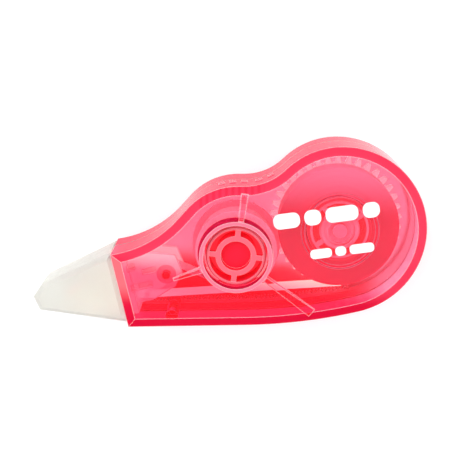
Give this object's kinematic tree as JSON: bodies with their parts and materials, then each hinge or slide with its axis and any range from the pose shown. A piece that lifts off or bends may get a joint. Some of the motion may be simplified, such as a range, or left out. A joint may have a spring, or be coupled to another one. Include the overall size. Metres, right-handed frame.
{
  "type": "correction tape roller",
  "caption": "Small disposable correction tape roller: clear two-shell body with a round boss and knob, geared reels of film, and a pull-off nose cap.",
  "frame": {"origin": "on the supply reel's axis, at the flat outside face of the back shell", "axes": "+Z through the casing's thickness towards the knob, -X along the casing towards the applicator, +Y towards the thumb grip"},
  "size_m": [0.0812, 0.0381, 0.0158],
  "materials": {
    "shell_plastic": "transparent pink polystyrene, glossy",
    "gear_plastic": "natural polyacetal, satin, slightly translucent",
    "cap_plastic": "frosted natural polypropylene",
    "head_plastic": "cream polyacetal, satin",
    "ring_rubber": "soft silicone",
    "roll_film": "edges of wound film, satin",
    "carrier_film": "thin carrier film",
    "white_film": "white correction coating on film"
  },
  "bodies": {
    "casing": {"front_shell": "shell_plastic", "back_shell": "shell_plastic", "applicator_head": "head_plastic", "tape_supply_run": "white_film", "tape_return_run": "carrier_film"},
    "cap": {"cap": "cap_plastic"},
    "drive": {"drive_gear": "gear_plastic", "friction_ring": "ring_rubber", "hub_cap": "gear_plastic"},
    "supply_reel": {"supply_core": "gear_plastic", "tape_roll": "roll_film"},
    "take_up": {"take_up_reel": "gear_plastic", "take_up_tape": "carrier_film", "take_up_knob": "shell_plastic"},
    "guide": {"guide_roller": "gear_plastic"}
  },
  "joints": [
    {"name": "cap_slide", "type": "slide", "parent": "casing", "child": "cap", "axis": [-0.9777, -0.21, 0], "range_m": [0, 0.025]},
    {"name": "drive_spin", "type": "hinge", "parent": "casing", "child": "drive", "pos_m": [0, 0, 0], "axis": [0, 0, 1], "continuous": true},
    {"name": "clutch_slip", "type": "hinge", "parent": "drive", "child": "supply_reel", "pos_m": [0, 0, 0], "axis": [0, 0, 1], "continuous": true},
    {"name": "take_up_spin", "type": "hinge", "parent": "casing", "child": "take_up", "pos_m": [-0.02114, -0.00488, 0], "axis": [0, 0, 1], "continuous": true},
    {"name": "guide_spin", "type": "hinge", "parent": "casing", "child": "guide", "pos_m": [-0.0357, -0.01, 0], "axis": [0, 0, 1], "continuous": true}
  ],
  "couplings": [
    {"joint": "take_up_spin", "follows": "drive_spin", "ratio": -1.5833}
  ]
}
